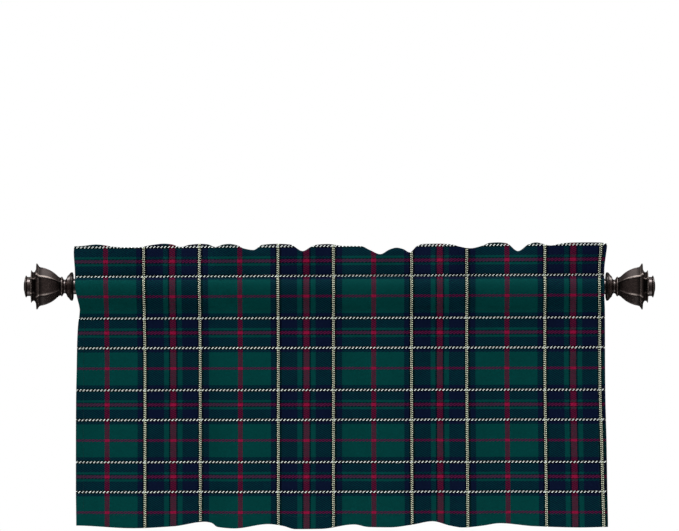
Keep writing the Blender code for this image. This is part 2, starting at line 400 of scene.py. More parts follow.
# The floor and the soft lights, in metres, with who sees each light: matt surfaces,
# glossy ones or both
FLOOR_RADIUS = 0.85
FLOOR_HEIGHT = -0.56
ROD = (0.0, 0.0, 0.0)
CLOTH = (0.0, 0.0, -0.1)
LIGHTS = [
    # name, place, target, size, power, matt, glossy
    ("key", (-1.5, -2.1, 1.5), CLOTH, (1.4, 1.4), 42.0, True, False),
    ("fill", (1.9, -2.2, 0.3), CLOTH, (1.6, 1.6), 24.0, True, False),
    ("window_side", (0.6, 1.9, 1.2), CLOTH, (1.4, 1.4), 26.0, True, False),
    ("above", (0.0, -0.35, 1.9), ROD, (2.6, 0.5), 26.0, True, True),
    ("gleam", (0.0, -0.65, 1.8), ROD, (2.6, 0.9), 66.0, False, True),
    ("crown", (0.0, 0.85, 2.2), ROD, (1.8, 1.4), 5.0, False, True),
    ("left_gleam", (-2.1, 1.1, 1.0), ROD, (0.8, 0.6), 7.0, False, True),
    ("right_gleam", (2.1, 1.1, 1.0), ROD, (0.8, 0.6), 7.0, False, True),
]


def read_curve(table, x, column):
    """Value of a table's column at x, smooth, with no swing past its rows."""
    if x <= table[0][0]:
        return table[0][column]
    if x >= table[-1][0]:
        return table[-1][column]
    place = 1
    while table[place][0] < x:
        place += 1

    def rise(index):
        step = table[index][0] - table[index - 1][0]
        return (table[index][column] - table[index - 1][column]) / step

    def slope(index):
        if index in (0, len(table) - 1):
            return 0.0
        before = rise(index)
        after = rise(index + 1)
        if before * after <= 0.0:
            return 0.0
        return 2.0 * before * after / (before + after)

    low = table[place - 1]
    high = table[place]
    width = high[0] - low[0]
    share = (x - low[0]) / width
    bend = share * share * (3.0 - 2.0 * share)
    start = slope(place - 1) * width * share * (1.0 - share) ** 2
    end = slope(place) * width * share ** 2 * (share - 1.0)
    return low[column] + (high[column] - low[column]) * bend + start + end


def place_across(x, z):
    """Where a point of the cloth's width stands, drawn in or out by its edges."""
    left = read_curve(SIDE_EDGES, z, 1) - LEFT_EDGE
    right = read_curve(SIDE_EDGES, z, 2) - RIGHT_EDGE
    near_left = math.exp((LEFT_EDGE - x) / EDGE_REACH)
    near_right = math.exp((x - RIGHT_EDGE) / EDGE_REACH)
    return x + left * near_left + right * near_right


def sway(reach, z, top, bottom):
    """How far the layers stand from the rod's plane at height z."""
    if z >= HEADER_SEAM:
        share = (z - HEADER_SEAM) / (top - HEADER_SEAM)
        return -reach * (SWAY_HEADER + SWAY_RUFFLE * share)
    if z <= POCKET_SEAM:
        share = (POCKET_SEAM - z) / (POCKET_SEAM - bottom)
        return -reach * (SWAY_SKIRT + SWAY_FOOT * share ** 0.8)
    return -reach * SWAY_POCKET


def soft_relief(x, z):
    """Height of the skirt's secondary folds at a point, towards the room."""
    total = 0.0
    for x_top, x_foot, depth, half_width, start, end in SOFT_FOLDS:
        if z > start:
            continue
        run = (start - z) / (start - HEM_LINE)
        middle = x_top + (x_foot - x_top) * run
        off = (x - middle) / half_width
        if abs(off) > 3.0:
            continue
        grow = min(1.0, (start - z) / 60.0)
        fade = min(1.0, max(0.0, (z - end) / 90.0))
        grow = grow * grow * (3.0 - 2.0 * grow)
        fade = fade * fade * (3.0 - 2.0 * fade)
        total += depth * math.exp(-off * off) * grow * fade
    return total


def pucker(x, z):
    """Height of the small gathers that the two seams draw up."""
    wander = 1.7 * math.sin(x / 57.0) + 1.1 * math.sin(x / 31.0 + 1.0)
    wave = 0.5 + 0.5 * math.sin(2.0 * math.pi * x / PUCKER_PITCH + wander)
    strength = 0.65 + 0.35 * math.sin(x / 83.0 + 0.6)
    total = 0.0
    for seam in (HEADER_SEAM, POCKET_SEAM):
        away = abs(z - seam) / PUCKER_REACH
        total += away * math.exp(1.0 - away)
    return PUCKER_DEPTH * wave * strength * min(total, 1.0)


def smooth_run(points, count):
    """A smooth line of count points through a few control points."""
    line = np.array(points, dtype=float)
    steps = np.hypot(*np.diff(line, axis=0).T)
    at = np.concatenate(([0.0], np.cumsum(steps)))
    slopes = np.gradient(line, at, axis=0)
    wanted = np.linspace(0.0, at[-1], count)
    place = np.clip(np.searchsorted(at, wanted, side="right") - 1, 0, len(at) - 2)
    width = (at[place + 1] - at[place])[:, None]
    share = (wanted - at[place])[:, None] / width
    bend = share ** 2 * (3.0 - 2.0 * share)
    low = line[place]
    high = line[place + 1]
    start = slopes[place] * width * share * (1.0 - share) ** 2
    end = slopes[place + 1] * width * share ** 2 * (share - 1.0)
    return low + (high - low) * bend + start + end


def round_turn(first, last, bulge, count):
    """Half an ellipse from one point to the other, standing out by bulge in z."""
    first = np.array(first)
    last = np.array(last)
    middle = (first + last) / 2.0
    half = (first - last) / 2.0
    points = []
    for number in range(count):
        angle = math.pi * number / (count - 1)
        out = np.array((0.0, bulge * math.sin(angle)))
        points.append(middle + half * math.cos(angle) + out)
    return np.array(points)


def woven_length(run, start, end):
    """Places along the cloth for a run of points, spread by their distance."""
    steps = np.hypot(*np.diff(run, axis=0).T)
    at = np.concatenate(([0.0], np.cumsum(steps)))
    return start + (end - start) * at / at[-1]


def thread_place(x, along):
    """Which threads lie at a place of the cloth, after their small lean and tilt."""
    z = min(max(along, HEM_LINE), HEADER_TOP)
    left = min(max(-x / LEAN_LEFT_WIDTH, 0.0), 1.1)
    left *= min(max((z - LEAN_LEFT_START) / LEAN_LEFT_RUN, 0.0), 1.0)
    right = min(max(x / LEAN_RIGHT_WIDTH, 0.0), 1.1)
    right *= min(max((LEAN_RIGHT_START - z) / LEAN_RIGHT_RUN, 0.0), 1.0)
    tilt = TILT_BELOW + TILT_ABOVE * math.exp((z - TILT_LEVEL) / TILT_FADE)
    return x - LEAN_LEFT * left - LEAN_RIGHT * right, along - tilt * x


def cloth_section(x, in_side_hem):
    """Runs of (points, places along the cloth) of one station's three contours."""
    thick = CLOTH_THICKNESS
    reach = read_curve(FOLDS, x, 1)
    top = read_curve(RUFFLE_EDGE, x, 1)
    bottom = HEM_LINE - read_curve(HEM_EDGE, x, 1)
    extra = thick if in_side_hem else 0.0
    hem_top = bottom + BOTTOM_HEM

    def moved(points, side):
        """The run with its small folds, which swell outwards over the rod."""
        for point in points:
            height = pucker(x, point[1])
            if point[1] > POCKET_SEAM:
                point[0] += side * height
            else:
                point[0] -= height + soft_relief(x, point[1])
        return points

    header = {-1.0: [], 1.0: []}
    gap = {-1.0: [], 1.0: []}
    for height, half_gap, half_width in HEADER_LEVELS:
        z = HEADER_SEAM + (top - HEADER_SEAM) * height
        middle = sway(reach, z, top, bottom)
        for side in (-1.0, 1.0):
            header[side].append((middle + side * half_width, z))
            if half_gap > 0.0:
                gap[side].append((middle + side * half_gap, z))
    seam = sway(reach, HEADER_SEAM, top, bottom)
    low = sway(reach, POCKET_SEAM, top, bottom)
    pocket_out = {}
    pocket_in = {}
    swell_front = POCKET_SWELL_FRONT * max(0.0, reach)
    swell_back = POCKET_SWELL_BACK * max(0.0, -reach)
    for side, swell in ((-1.0, swell_front), (1.0, swell_back)):
        outer = [(seam + side * 1.5, HEADER_SEAM)]
        inner = [(seam, ROD_RADIUS + 0.7)]
        for y, z, puff in POCKET_POINTS:
            length = math.hypot(y, z)
            near = y + puff * swell
            inner.append((side * near, z))
            outer.append((side * (near + thick * y / length), z + thick * z / length))
        outer.append((low + side * thick, POCKET_SEAM))
        inner.append((low, POCKET_SEAM + 1.6))
        pocket_out[side] = outer
        pocket_in[side] = inner

    def level_run(points, count, side):
        """A smooth run whose places along the cloth are its heights."""
        line = moved(smooth_run(points, count), side)
        return line, line[:, 1].copy()

    def skirt_line(offset, first, last):
        """Points down the skirt, at an offset from the plane between layers."""
        levels = [first]
        for share in SKIRT_SHARES:
            z = FACING_EDGE + (hem_top - FACING_EDGE) * share
            if last < z < first:
                levels.append(z)
        levels.append(last)
        return [(sway(reach, z, top, bottom) + offset, z) for z in levels]

    seam_back = 2.0 * top - HEADER_SEAM
    foot_back = seam_back + HEADER_SEAM - POCKET_SEAM
    runs = []

    crest = round_turn(header[1.0][0], header[-1.0][0], top - header[-1.0][0][1], 7)
    runs.append((moved(crest, 0.0), woven_length(crest, 2.0 * top - crest[0][1], crest[-1][1])))
    runs.append(level_run(header[-1.0] + pocket_out[-1.0][:1], 14, -1.0))
    front = moved(smooth_run(pocket_out[-1.0], 20), -1.0)
    woven = (woven_length(front, HEADER_SEAM, POCKET_SEAM) + front[:, 1]) / 2.0
    runs.append((front, woven))
    runs.append(level_run(skirt_line(-thick, POCKET_SEAM, hem_top), 36, -1.0))
    runs.append(level_run(skirt_line(-thick, hem_top, bottom + thick), 6, -1.0))
    front = runs[-1][0]
    hem_back = skirt_line(thick + extra * 0.5, hem_top - HEM_STEP, bottom + thick)
    foot = round_turn(front[-1], moved([list(hem_back[-1])], 1.0)[0], -thick, 6)
    runs.append((foot, woven_length(foot, foot[0][1], 2.0 * bottom - foot[-1][1])))
    back = moved(smooth_run(hem_back[::-1], 6), 1.0)
    runs.append((back, 2.0 * bottom - back[:, 1]))
    skirt_back = level_run(skirt_line(extra, FACING_EDGE - HEM_STEP, hem_top)[::-1], 30, 1.0)
    hem_edge = back[-1]
    back = skirt_back[0]
    step = np.array((hem_edge, back[0]))
    turned = 2.0 * bottom - hem_edge[1]
    runs.append((step, np.array((turned, turned - HEM_STEP))))
    runs.append(skirt_back)
    facing = skirt_line(thick + extra * 0.5, POCKET_SEAM, FACING_EDGE)
    facing = moved(smooth_run(facing[::-1], 3), 1.0)
    step = np.array((back[-1], facing[0]))
    edge = foot_back + POCKET_SEAM - FACING_EDGE
    runs.append((step, np.array((edge + HEM_STEP, edge))))
    runs.append((facing, woven_length(facing, edge, foot_back)))
    back = moved(smooth_run(pocket_out[1.0][::-1], 20), 1.0)
    runs.append((back, woven_length(back, foot_back, seam_back)))
    back = moved(smooth_run((header[1.0] + pocket_out[1.0][:1])[::-1], 14), 1.0)
    runs.append((back, 2.0 * top - back[:, 1]))

    gap_top = (sway(reach, top, top, bottom), top - 2.8)
    gap_foot = (seam, HEADER_SEAM + 1.9)
    gap_runs = [level_run([gap_top] + gap[-1.0] + [gap_foot], 9, -1.0),
                level_run([gap_foot] + gap[1.0][::-1] + [gap_top], 9, 1.0)]
    pocket_runs = [level_run(pocket_in[-1.0], 18, -1.0),
                   level_run(pocket_in[1.0][::-1], 18, 1.0)]
    return runs, gap_runs, pocket_runs


def close_loop(runs):
    """One closed contour: its points, and where the cloth's length is at each side of
    every edge, so that two turned layers can meet at a step."""
    points = []
    woven = []
    for line, length in runs:
        for index in range(len(line) - 1):
            points.append(line[index])
            woven.append((length[index], length[index + 1]))
    return np.array(points), np.array(woven)


def cloth_columns():
    """Places across the width, close together at the side hems' inner edges."""
    left = LEFT_EDGE + SIDE_HEM
    right = RIGHT_EDGE - SIDE_HEM
    places = [(x, True) for x in np.linspace(LEFT_EDGE, left, HEM_COLUMNS)]
    inner = np.linspace(left + HEM_STEP, right - HEM_STEP, CLOTH_COLUMNS)
    places += [(x, False) for x in inner]
    places += [(x, True) for x in np.linspace(right, RIGHT_EDGE, HEM_COLUMNS)]
    return places


def add_smooth(name, mesh, sharp_angle=None):
    """A new object with a smooth mesh, but for the edges past an angle in degrees."""
    mesh.shade_smooth()
    if sharp_angle is not None:
        mesh.set_sharp_from_angle(angle=math.radians(sharp_angle))
    piece = bpy.data.objects.new(name, mesh)
    bpy.context.scene.collection.objects.link(piece)
    return piece


def build_cloth():
    """The valance in one closed sheet, with its maps. Also returns its contours."""
    columns = cloth_columns()
    contours = []
    for x, in_side_hem in columns:
        loops = [close_loop(runs) for runs in cloth_section(x, in_side_hem)]
        contours.append(loops)
    sizes = [len(loop[0]) for loop in contours[0]]
    size = sum(sizes)
    points = []
    for (x, _), loops in zip(columns, contours):
        for line, _ in loops:
            for y, z in line:
                points.append((place_across(x, z) * MM, y * MM, z * MM))
    faces = []
    weave = []
    bake = []
    last = len(columns) - 1
    for number in range(last):
        near_x = columns[number][0]
        far_x = columns[number + 1][0]
        bake_near = 0.96 * number / last
        bake_far = 0.96 * (number + 1) / last
        start = number * size
        for count, (low, high), near, far in zip(sizes, BAKE_BANDS, contours[number],
                                                 contours[number + 1]):
            for index in range(count):
                after = (index + 1) % count
                faces.append((start + index, start + size + index,
                              start + size + after, start + after))
                weave += [thread_place(near_x, near[1][index][0]),
                          thread_place(far_x, far[1][index][0]),
                          thread_place(far_x, far[1][index][1]),
                          thread_place(near_x, near[1][index][1])]
                v_low = low + (high - low) * index / count
                v_high = low + (high - low) * (index + 1) / count
                bake += [(bake_near, v_low), (bake_far, v_low),
                         (bake_far, v_high), (bake_near, v_high)]
            start += count

    mesh = bpy.data.meshes.new("valance_cloth")
    mesh.from_pydata(points, [], faces)
    mesh.uv_layers.new(name="weave")
    mesh.uv_layers.new(name="OFBake")
    mesh.uv_layers["weave"].data.foreach_set("uv", (np.array(weave) * MM).ravel())
    mesh.uv_layers["OFBake"].data.foreach_set("uv", np.array(bake).ravel())
    close_ends(mesh)
    return add_smooth("valance_cloth", mesh, 46.0), columns, contours


def close_ends(mesh):
    """Fills the two open ends of the cloth, around the pocket and the gap."""
    work = bmesh.new()
    work.from_mesh(mesh)
    weave = work.loops.layers.uv["weave"]
    bake = work.loops.layers.uv["OFBake"]
    for side in (-1.0, 1.0):
        rim = [e for e in work.edges if e.is_boundary and e.verts[0].co.x * side > 0.0]
        made = bmesh.ops.triangle_fill(work, edges=rim, use_beauty=True, normal=(side, 0.0, 0.0))
        fresh = [item for item in made["geom"] if isinstance(item, bmesh.types.BMFace)]
        for face in fresh:
            for loop in face.loops:
                co = loop.vert.co
                place = LEFT_EDGE if side < 0.0 else RIGHT_EDGE
                loop[weave].uv = (place * MM + co.y, co.z)
                loop[bake].uv = (0.98 + 0.005 * side + co.y * 0.2, 0.9 + co.z * 2.0)
    bmesh.ops.recalc_face_normals(work, faces=work.faces)
    if work.calc_volume(signed=True) < 0.0:
        bmesh.ops.reverse_faces(work, faces=work.faces)
    work.to_mesh(mesh)
    work.free()


def linear(value):
    """A linear colour from sRGB numbers of 0 to 255."""
    parts = []
    for number in value:
        share = number / 255.0
        low = share / 12.92
        parts.append(low if share <= 0.04045 else ((share + 0.055) / 1.055) ** 2.4)
    return parts


def shade_of(red, green, blue):
    """The linear colour with full cover, from sRGB numbers of 0 to 255."""
    return (*linear((red, green, blue)), 1.0)


class Nodes:
    """Short ways to add and join the nodes of one material."""

    def __init__(self, name):
        self.material = bpy.data.materials.new(name)
        self.material.use_nodes = True
        self.tree = self.material.node_tree
        self.shader = self.tree.nodes["Principled BSDF"]

    def add(self, kind, **values):
        node = self.tree.nodes.new(kind)
        for name, value in values.items():
            setattr(node, name, value)
        return node

    def feed(self, socket, value):
        if isinstance(value, bpy.types.NodeSocket):
            self.tree.links.new(value, socket)
        else:
            socket.default_value = value

    def math(self, operation, *values):
        node = self.add("ShaderNodeMath", operation=operation)
        for socket, value in zip(node.inputs, values):
            self.feed(socket, value)
        return node.outputs[0]

    def mix(self, factor, first, second, blend="MIX"):
        node = self.add("ShaderNodeMix", data_type="RGBA", blend_type=blend)
        self.feed(node.inputs["Factor"], factor)
        self.feed(node.inputs["A"], first)
        self.feed(node.inputs["B"], second)
        return node.outputs["Result"]

    def noise(self, vector, scale, detail=2.0, roughness=0.5):
        node = self.add("ShaderNodeTexNoise")
        self.feed(node.inputs["Vector"], vector)
        node.inputs["Scale"].default_value = scale
        node.inputs["Detail"].default_value = detail
        node.inputs["Roughness"].default_value = roughness
        return node.outputs["Fac"]

    def ramp(self, factor, stops, interpolation="LINEAR"):
        node = self.add("ShaderNodeValToRGB")
        node.color_ramp.interpolation = interpolation
        points = node.color_ramp.elements
        while len(points) < len(stops):
            points.new(1.0)
        for point, (place, color) in zip(points, stops):
            point.position = place
            point.color = color
        self.feed(node.inputs["Fac"], factor)
        return node.outputs["Color"], node.outputs["Alpha"]

    def bump(self, height, strength, distance, normal=None):
        node = self.add("ShaderNodeBump")
        node.inputs["Strength"].default_value = strength
        node.inputs["Distance"].default_value = distance
        self.feed(node.inputs["Height"], height)
        if normal is not None:
            self.feed(node.inputs["Normal"], normal)
        return node.outputs["Normal"]


def count_threads(nodes, place, way):
    """Number of the thread at a place of the sett, and how far across it that is. The
    way is 0 for the warp and 1 for the weft."""
    count = place
    for band in SETT_BANDS:
        if band[2] != "light":
            continue
        node = nodes.add("ShaderNodeMapRange")
        nodes.feed(node.inputs["Value"], place)
        node.inputs["From Min"].default_value = band[way]
        node.inputs["From Max"].default_value = band[way] + LIGHT_ROOM[way]
        node.inputs["To Max"].default_value = LIGHT_ROOM[way] - LIGHT_YARNS
        count = nodes.math("SUBTRACT", count, node.outputs[0])
    return nodes.math("FLOOR", count), nodes.math("FRACT", count)


def dyed(nodes, place, way, dyes):
    """Colour of the thread at a place of the sett, and 1 where it is a light one."""
    threads = SETT_THREADS[way]
    stops = []
    for band in SETT_BANDS:
        color = [part * DYE_GAIN for part in linear(dyes[band[2]])]
        stops.append((band[way] / threads, color + [1.0 if band[2] == "light" else 0.0]))
    return nodes.ramp(nodes.math("DIVIDE", place, float(threads)), stops, "CONSTANT")


def choose(nodes, factor, first, second):
    """First where the factor is 0 and second where it is 1, for plain numbers."""
    node = nodes.add("ShaderNodeMix", data_type="FLOAT")
    nodes.feed(node.inputs["Factor"], factor)
    nodes.feed(node.inputs["A"], first)
    nodes.feed(node.inputs["B"], second)
    return node.outputs["Result"]


def bulge(nodes, share, power):
    """1 in the middle of a share of 0 to 1, falling to 0 at both ends."""
    off = nodes.math("ABSOLUTE", nodes.math("MULTIPLY_ADD", share, 2.0, -1.0))
    return nodes.math("SUBTRACT", 1.0, nodes.math("POWER", off, power))


def neighbour_shade(nodes, warp_color, weft_color):
    """How much unlike threads darken each other where they cross."""
    coded = []
    for color in (warp_color, weft_color):
        node = nodes.add("ShaderNodeGamma")
        nodes.feed(node.inputs["Color"], color)
        nodes.feed(node.inputs["Gamma"], 1.0 / 2.2)
        coded.append(node.outputs[0])
    seen = nodes.add("ShaderNodeGamma")
    nodes.feed(seen.inputs["Color"], nodes.mix(0.5, coded[0], coded[1]))
    nodes.feed(seen.inputs["Gamma"], 2.2)
    ratio = nodes.add("ShaderNodeVectorMath", operation="DIVIDE")
    nodes.feed(ratio.inputs[0], seen.outputs[0])
    nodes.feed(ratio.inputs[1], nodes.mix(0.5, warp_color, weft_color))
    apart = nodes.add("ShaderNodeVectorMath", operation="DISTANCE")
    nodes.feed(apart.inputs[0], coded[0])
    nodes.feed(apart.inputs[1], coded[1])
    unlike = nodes.add("ShaderNodeMapRange")
    nodes.feed(unlike.inputs["Value"], apart.outputs["Value"])
    unlike.inputs["From Max"].default_value = 0.2
    unlike.inputs["To Min"].default_value = 1.0
    unlike.inputs["To Max"].default_value = 0.8
    shade = nodes.add("ShaderNodeVectorMath", operation="SCALE")
    nodes.feed(shade.inputs[0], ratio.outputs[0])
    nodes.feed(shade.inputs["Scale"], unlike.outputs[0])
    return shade.outputs[0]


def tartan_material():
    """Twill of dyed threads, each with its own round back and small uneven dye, and painted shade
    towards each yarn's sides and ends and on dark threads crossing a light yarn.
    """
    nodes = Nodes("tartan_twill")
    place = nodes.add("ShaderNodeUVMap", uv_map="weave")
    split = nodes.add("ShaderNodeSeparateXYZ")
    nodes.feed(split.inputs[0], place.outputs[0])
    across = nodes.math("DIVIDE", nodes.math("SUBTRACT", split.outputs[0], RED_WARP_AT * MM),
                        THREAD_ACROSS * MM)
    down = nodes.math("DIVIDE", nodes.math("SUBTRACT", split.outputs[1], RED_WEFT_AT * MM),
                      THREAD_DOWN * MM)
    across = nodes.math("FLOORED_MODULO", across, float(SETT_THREADS[0]))
    down = nodes.math("FLOORED_MODULO", down, float(SETT_THREADS[1]))
    warp, warp_share = count_threads(nodes, across, 0)
    weft, weft_share = count_threads(nodes, down, 1)
    warp_color, warp_light = dyed(nodes, across, 0, WARP_DYES)
    weft_color, weft_light = dyed(nodes, down, 1, WEFT_DYES)

    order = nodes.math("FLOORED_MODULO", nodes.math("SUBTRACT", warp, weft), 4.0)
    warp_on_top = nodes.math("LESS_THAN", order, 1.5)
    color = nodes.mix(warp_on_top, weft_color, warp_color)
    light = choose(nodes, warp_on_top, weft_light, warp_light)
    covered_light = choose(nodes, warp_on_top, warp_light, weft_light)

    warp_run = nodes.math("MULTIPLY", nodes.math("SUBTRACT", nodes.math("ADD", weft_share, 1.0),
                                                 order), 0.5)
    weft_run = nodes.math("MULTIPLY", nodes.math("ADD", nodes.math("SUBTRACT", order, 2.0),
                                                 warp_share), 0.5)
    side = bulge(nodes, choose(nodes, warp_on_top, weft_share, warp_share), 2.0)
    run = bulge(nodes, choose(nodes, warp_on_top, weft_run, warp_run), 3.0)
    height = nodes.math("MULTIPLY", side, run)

    yarn = nodes.add("ShaderNodeCombineXYZ")
    nodes.feed(yarn.inputs[0], warp)
    nodes.feed(yarn.inputs[1], weft)
    nodes.feed(yarn.inputs[2], warp_on_top)
    speck = nodes.add("ShaderNodeTexWhiteNoise", noise_dimensions="3D")
    nodes.feed(speck.inputs["Vector"], yarn.outputs[0])
    cloudy = nodes.noise(place.outputs[0], 22.0, 3.0, 0.6)
    fibres = nodes.noise(place.outputs[0], 1400.0, 2.0, 0.7)
    tone = nodes.math("MULTIPLY_ADD", speck.outputs["Value"], 0.2, 0.86)
    tone = nodes.math("MULTIPLY", tone, nodes.math("MULTIPLY_ADD", cloudy, 0.24, 0.88))
    tone = nodes.math("MULTIPLY", tone, nodes.math("MULTIPLY_ADD", fibres, 0.3, 0.85))
    # Painted shade: each yarn darker towards its sides and ends, a light yarn dark below LIGHT_FROM
    bright = nodes.add("ShaderNodeMapRange")
    nodes.feed(bright.inputs["Value"], height)
    bright.inputs["From Min"].default_value = LIGHT_FROM
    bright.inputs["From Max"].default_value = LIGHT_FULL
    plain = nodes.math("MULTIPLY_ADD", height, 0.35, 0.82)
    tone = nodes.math("MULTIPLY", tone, choose(nodes, light, plain, bright.outputs[0]))
    # Painted shade on a dark thread where it lies over a light yarn
    beside = nodes.math("MULTIPLY", covered_light, nodes.math("SUBTRACT", 1.0, light))
    tone = nodes.math("MULTIPLY", tone, nodes.math("MULTIPLY_ADD", beside, -0.75, 1.0))
    shade = nodes.mix(light, neighbour_shade(nodes, warp_color, weft_color), (1.0, 1.0, 1.0, 1.0))
    toned = nodes.add("ShaderNodeVectorMath", operation="SCALE")
    nodes.feed(toned.inputs[0], shade)
    nodes.feed(toned.inputs["Scale"], tone)
    color = nodes.mix(1.0, color, toned.outputs[0], "MULTIPLY")
    nodes.feed(nodes.shader.inputs["Base Color"], color)

    ridge = nodes.math("MULTIPLY_ADD", fibres, 0.25, height)
    nodes.feed(nodes.shader.inputs["Normal"], nodes.bump(ridge, 0.35, 0.0003))
    nodes.shader.inputs["Roughness"].default_value = 0.95
    nodes.shader.inputs["Specular IOR Level"].default_value = 0.03
    return nodes.material


def thread_material():
    """Dark green sewing thread with the turns of its ply."""
    nodes = Nodes("sewing_thread")
    place = nodes.add("ShaderNodeTexCoord")
    ply = nodes.add("ShaderNodeTexWave", wave_type="BANDS", bands_direction="DIAGONAL")
    nodes.feed(ply.inputs["Vector"], place.outputs["Object"])
    ply.inputs["Scale"].default_value = 900.0
    ply.inputs["Distortion"].default_value = 1.5
    color = nodes.ramp(ply.outputs["Fac"], [(0.0, shade_of(2, 18, 22)), (1.0, shade_of(8, 44, 48))])
    nodes.feed(nodes.shader.inputs["Base Color"], color[0])
    nodes.feed(nodes.shader.inputs["Normal"], nodes.bump(ply.outputs["Fac"], 0.4, 0.0001))
    nodes.shader.inputs["Roughness"].default_value = 0.7
    nodes.shader.inputs["Specular IOR Level"].default_value = 0.2
    return nodes.material


def bronze_material(name, paints_wear_and_light):
    """Dark oiled bronze with fine turning streaks and, where asked, colour from the mesh: pale
    rubbing with a painted highlight, and painted shade that blackens creases and ridge sides and
    thins the coat there.
    """
    nodes = Nodes(name)
    place = nodes.add("ShaderNodeTexCoord").outputs["Object"]
    stretch = nodes.add("ShaderNodeMapping")
    nodes.feed(stretch.inputs["Vector"], place)
    stretch.inputs["Scale"].default_value = (60.0, 420.0, 420.0)
    streaks = nodes.noise(stretch.outputs[0], 1.0, 4.0, 0.65)
    clouds = nodes.noise(place, 85.0, 3.0, 0.55)
    grain = nodes.noise(place, 900.0, 2.0, 0.6)
    tone = nodes.math("ADD", nodes.math("MULTIPLY", streaks, 0.6),
                      nodes.math("MULTIPLY", clouds, 0.4))
    color, _ = nodes.ramp(tone, [(0.3, shade_of(38, 29, 28)), (0.5, shade_of(52, 42, 40)),
                                 (0.7, shade_of(76, 64, 61))])
    if paints_wear_and_light:
        # Painted light read from the mesh: above 0, pale rubbing with a painted highlight; below 0,
        # painted shade
        wear_and_painted_light = nodes.add("ShaderNodeAttribute", attribute_name="wear_and_painted_light").outputs["Fac"]
        rub_and_painted_light = nodes.add("ShaderNodeClamp")
        nodes.feed(rub_and_painted_light.inputs["Value"], nodes.math("MULTIPLY", wear_and_painted_light, nodes.math(
            "MULTIPLY_ADD", streaks, 1.6, -0.2)))
        color = nodes.mix(rub_and_painted_light.outputs[0], color, shade_of(240, 228, 220))
        # Painted shade: near black where the value is below 0, with a thinner coat
        painted_shade = nodes.add("ShaderNodeClamp")
        nodes.feed(painted_shade.inputs["Value"], nodes.math("MULTIPLY", wear_and_painted_light, -1.15))
        color = nodes.mix(painted_shade.outputs[0], color, shade_of(5, 4, 4))
        coat = nodes.math("MULTIPLY_ADD", painted_shade.outputs[0], -COAT_WEIGHT, COAT_WEIGHT)
        nodes.feed(nodes.shader.inputs["Coat Weight"], coat)
    nodes.feed(nodes.shader.inputs["Base Color"], color)
    gloss = nodes.math("MULTIPLY_ADD", streaks, 0.24, 0.16)
    nodes.feed(nodes.shader.inputs["Roughness"], gloss)
    relief = nodes.math("ADD", nodes.math("MULTIPLY", streaks, 0.7),
                        nodes.math("MULTIPLY", grain, 0.3))
    nodes.feed(nodes.shader.inputs["Normal"], nodes.bump(relief, 0.25, 0.0004))
    nodes.shader.inputs["Metallic"].default_value = 0.6
    nodes.shader.inputs["Specular IOR Level"].default_value = 0.25
    nodes.shader.inputs["Specular Tint"].default_value = (1.0, 0.84, 0.8, 1.0)
    nodes.shader.inputs["Coat Weight"].default_value = COAT_WEIGHT
    nodes.shader.inputs["Coat Roughness"].default_value = 0.18
    nodes.shader.inputs["Coat Tint"].default_value = (1.0, 0.95, 0.93, 1.0)
    return nodes.material


def finial_reach(angle, radius, hexagon):
    """Distance of a finial's surface from its axis, with a fine rib on each corner."""
    total = 0.0
    for facet in range(6):
        middle = math.pi / 6.0 + facet * math.pi / 3.0
        facing = math.cos(angle - middle)
        if facing > 0.0:
            total += facing ** FACET_SHARPNESS
    inner = (radius - RIB_HEIGHT) * math.cos(math.pi / 6.0)
    flat = inner / total ** (1.0 / FACET_SHARPNESS)
    away = math.remainder(angle, math.pi / 3.0) * radius / RIB_WIDTH
    flat += RIB_HEIGHT * math.exp(-away * away)
    return radius + (flat - radius) * hexagon


def corner_rub_and_painted_light(angle, radius, out):
    """Painted light beside a finial's corner: rubbing with a painted highlight above the upper
    ridges, most towards the lip, a weaker one beside the lower ridges, painted shade just below
    each of these ridges, and painted shade along the top and bottom corners."""
    corner = round(angle / (math.pi / 3.0)) % 6
    away = math.remainder(angle, math.pi / 3.0) * radius
    if corner in (0, 3):
        return -0.75 * math.exp(-(away / 1.6) ** 2)
    if corner in (1, 2):
        away = -away
    rub_highlight = RUB_HIGHLIGHT_ABOVE if corner in (1, 5) else RUB_HIGHLIGHT_BELOW
    rub_highlight *= min(1.0, max(0.2, (out - RUB_HIGHLIGHT_START) / RUB_HIGHLIGHT_LENGTH))
    spread = max(1.0, radius / RUB_HIGHLIGHT_SPREAD) if corner in (1, 5) else 1.0
    lit = rub_highlight * math.exp(-((away - RUB_HIGHLIGHT_AWAY * spread) / (RUB_HIGHLIGHT_WIDTH * spread)) ** 2)
    return lit - 0.8 * math.exp(-((away + 0.7) / 0.7) ** 2)


def finial_angles():
    """Angles around a finial, closer together near its six corners."""
    angles = []
    for number in range(FINIAL_SIDES):
        angle = 2.0 * math.pi * number / FINIAL_SIDES
        angles.append(angle - CORNER_CROWDING / 6.0 * math.sin(6.0 * angle))
    return angles


